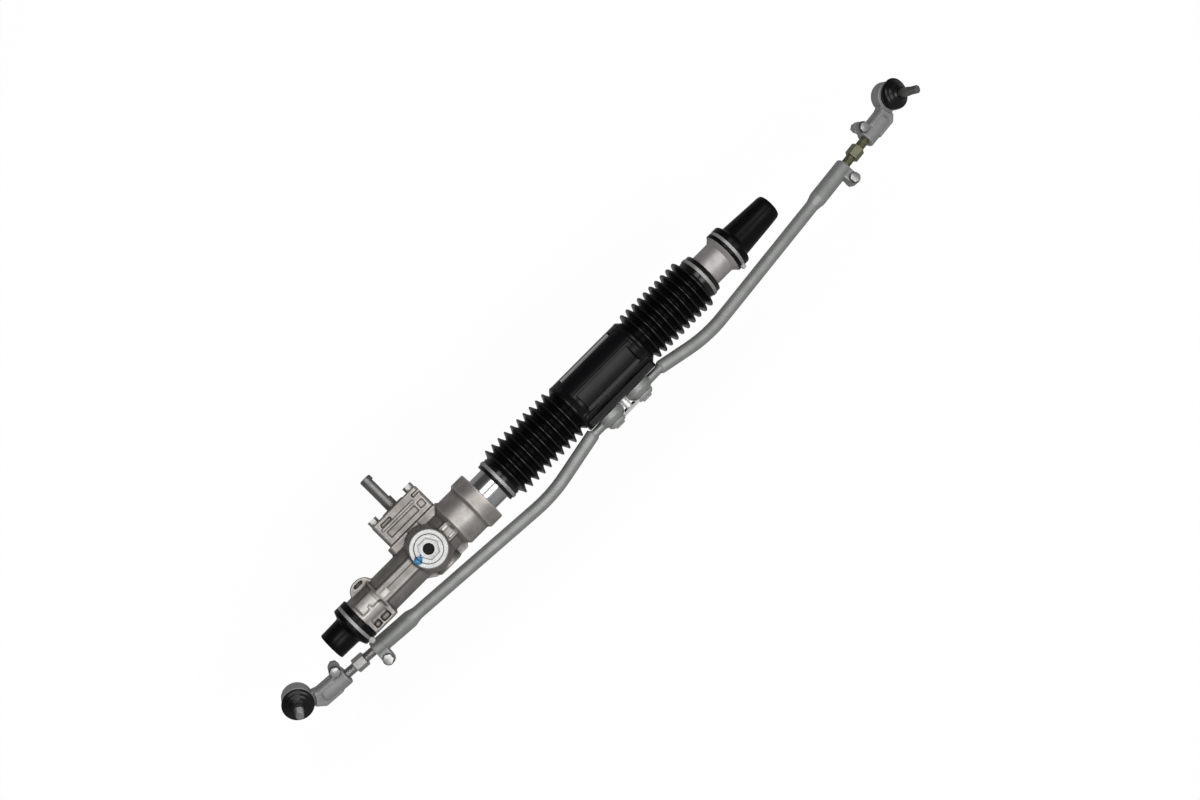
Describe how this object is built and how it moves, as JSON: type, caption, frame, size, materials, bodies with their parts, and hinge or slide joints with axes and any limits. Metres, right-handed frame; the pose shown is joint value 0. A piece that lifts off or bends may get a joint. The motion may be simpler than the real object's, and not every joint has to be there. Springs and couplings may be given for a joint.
{
  "type": "steering rack",
  "caption": "Manual rack and pinion steering gear with a boot along its middle and two tie rods bolted to the centre of the rack bar.",
  "frame": {"origin": "centre of the clamp ring beside the pinion, on the rack bar's axis", "axes": "+X along the rack bar away from the pinion, +Y along the pinion shaft towards the column, +Z to the front, where the adjuster plug is"},
  "size_m": [1.2526, 0.207, 0.1191],
  "materials": {
    "cast_aluminium": "satin",
    "polished_steel": "polished",
    "plain_steel": "satin",
    "plated_steel": "satin",
    "zinc_steel": "satin",
    "black_paint": "satin",
    "black_rubber": "gloss",
    "black_plastic": "gloss",
    "white_plastic": "satin",
    "gasket_paper": "matte"
  },
  "bodies": {
    "housing": {"rack_housing": "cast_aluminium", "housing_tube": "polished_steel", "end_mount_sleeve": "cast_aluminium", "rack_bush": "white_plastic", "left_end_cap": "black_rubber", "left_cap_clamp": "plated_steel", "right_end_cap": "black_rubber", "right_cap_clamp": "plated_steel", "boot_clamps": "plated_steel", "left_bellows": "black_rubber", "right_bellows": "black_rubber", "pinion_cover": "cast_aluminium", "cover_gasket": "gasket_paper", "cover_bolts": "plated_steel", "pinion_seal": "black_rubber", "bearing_outer_race": "polished_steel", "needle_bearing": "plain_steel", "yoke": "cast_aluminium", "yoke_spring": "plain_steel", "adjuster_plug": "plated_steel", "plug_lock_ring": "plated_steel"},
    "pinion": {"pinion_shaft": "plain_steel", "bearing_inner_race": "polished_steel", "shaft_circlip": "plated_steel"},
    "bearing_balls": {"bearing_balls": "polished_steel"},
    "rack": {"rack_bar": "polished_steel", "centre_sleeve": "black_plastic", "guide_block": "black_plastic", "rail_plate": "black_paint", "bush_sleeves": "plated_steel", "spacer": "plated_steel", "lock_plate": "plain_steel", "rod_bolts": "plated_steel"},
    "left_rod": {"left_tie_rod": "plain_steel", "left_rod_bush": "black_rubber", "left_rod_pinch_bolt": "plated_steel"},
    "left_adjuster": {"left_adjuster": "plated_steel"},
    "left_end": {"left_end_forging": "plain_steel", "left_end_pinch_bolt": "plated_steel", "left_ball_seat": "white_plastic", "left_closing_plate": "plain_steel", "left_boot_base_ring": "plain_steel"},
    "left_boot": {"left_dust_boot": "black_rubber"},
    "left_boot_top": {"left_boot_top_ring": "black_rubber"},
    "left_stud": {"left_ball_stud": "plain_steel"},
    "right_rod": {"right_tie_rod": "plain_steel", "right_rod_bush": "black_rubber", "right_rod_pinch_bolt": "plated_steel"},
    "right_adjuster": {"right_adjuster": "zinc_steel"},
    "right_end": {"right_end_forging": "plain_steel", "right_end_pinch_bolt": "plated_steel", "right_ball_seat": "white_plastic", "right_closing_plate": "plain_steel", "right_boot_base_ring": "plain_steel"},
    "right_boot": {"right_dust_boot": "black_rubber"},
    "right_boot_top": {"right_boot_top_ring": "black_rubber"},
    "right_stud": {"right_ball_stud": "plain_steel"}
  },
  "joints": [
    {"name": "rack_slide", "type": "slide", "parent": "housing", "child": "rack", "axis": [1, 0, 0], "range_m": [-0.073, 0.067], "deforming": ["left_bellows", "right_bellows"]},
    {"name": "pinion_turn", "type": "hinge", "parent": "housing", "child": "pinion", "pos_m": [-0.086, 0.05, -0.01502], "axis": [0, 1, 0], "range_deg": [-706, 650]},
    {"name": "bearing_roll", "type": "hinge", "parent": "housing", "child": "bearing_balls", "pos_m": [-0.086, 0.0324, -0.01502], "axis": [0, 1, 0], "range_deg": [-276, 254]},
    {"name": "left_rod_swing", "type": "hinge", "parent": "rack", "child": "left_rod", "pos_m": [0.2144, -0.052, 0], "axis": [0, 1, 0], "range_deg": [-20, 0.8], "stiffness_Nm_per_rad": 62.1, "springref_deg": 6},
    {"name": "left_toe_slide", "type": "slide", "parent": "left_rod", "child": "left_end", "axis": [-0.9919, 0.0729, -0.1043], "range_m": [-0.006, 0.006]},
    {"name": "left_adjuster_turn", "type": "hinge", "parent": "left_rod", "child": "left_adjuster", "pos_m": [-0.26484, -0.04308, -0.05037], "axis": [-0.9919, 0.0729, -0.1043], "range_deg": [-725, 725]},
    {"name": "left_stud_tilt_out", "type": "hinge", "parent": "left_end", "child": "left_boot", "pos_m": [-0.36537, -0.0183, -0.05491], "axis": [-0.0345, -0.943, -0.331], "range_deg": [-22, 22], "deforming": ["left_dust_boot"]},
    {"name": "left_stud_tilt_down", "type": "hinge", "parent": "left_boot", "child": "left_boot_top", "pos_m": [-0.36537, -0.0183, -0.05491], "axis": [0.9919, -0.0729, 0.1043], "range_deg": [-16, 16]},
    {"name": "left_stud_spin", "type": "hinge", "parent": "left_boot_top", "child": "left_stud", "pos_m": [-0.36537, -0.0183, -0.05491], "axis": [-0.1224, -0.3247, 0.9379], "continuous": true},
    {"name": "right_rod_swing", "type": "hinge", "parent": "rack", "child": "right_rod", "pos_m": [0.2673, -0.052, 0], "axis": [0, -1, 0], "range_deg": [-20, 20], "stiffness_Nm_per_rad": 60.01, "springref_deg": 6},
    {"name": "right_toe_slide", "type": "slide", "parent": "right_rod", "child": "right_end", "axis": [0.9898, 0.0976, -0.104], "range_m": [-0.006, 0.006]},
    {"name": "right_adjuster_turn", "type": "hinge", "parent": "right_rod", "child": "right_adjuster", "pos_m": [0.73427, -0.03191, -0.04908], "axis": [0.9898, 0.0976, -0.104], "range_deg": [-725, 725]},
    {"name": "right_stud_tilt_out", "type": "hinge", "parent": "right_end", "child": "right_boot", "pos_m": [0.83443, -0.00897, -0.05509], "axis": [-0.0577, 0.941, 0.3334], "range_deg": [-40, 4], "deforming": ["right_dust_boot"]},
    {"name": "right_stud_tilt_down", "type": "hinge", "parent": "right_boot", "child": "right_boot_top", "pos_m": [0.83443, -0.00897, -0.05509], "axis": [0.901, 0.1929, -0.3885], "range_deg": [-25, 7]},
    {"name": "right_stud_spin", "type": "hinge", "parent": "right_boot_top", "child": "right_stud", "pos_m": [0.83443, -0.00897, -0.05509], "axis": [0.4336, -0.4218, 0.7963], "continuous": true}
  ],
  "couplings": [
    {"joint": "pinion_turn", "follows": "rack_slide", "rad_per_m": 167.57},
    {"joint": "bearing_roll", "follows": "rack_slide", "rad_per_m": 64.972},
    {"joint": "left_adjuster_turn", "follows": "left_toe_slide", "rad_per_m": 2094.4},
    {"joint": "right_adjuster_turn", "follows": "right_toe_slide", "rad_per_m": 2094.4}
  ]
}
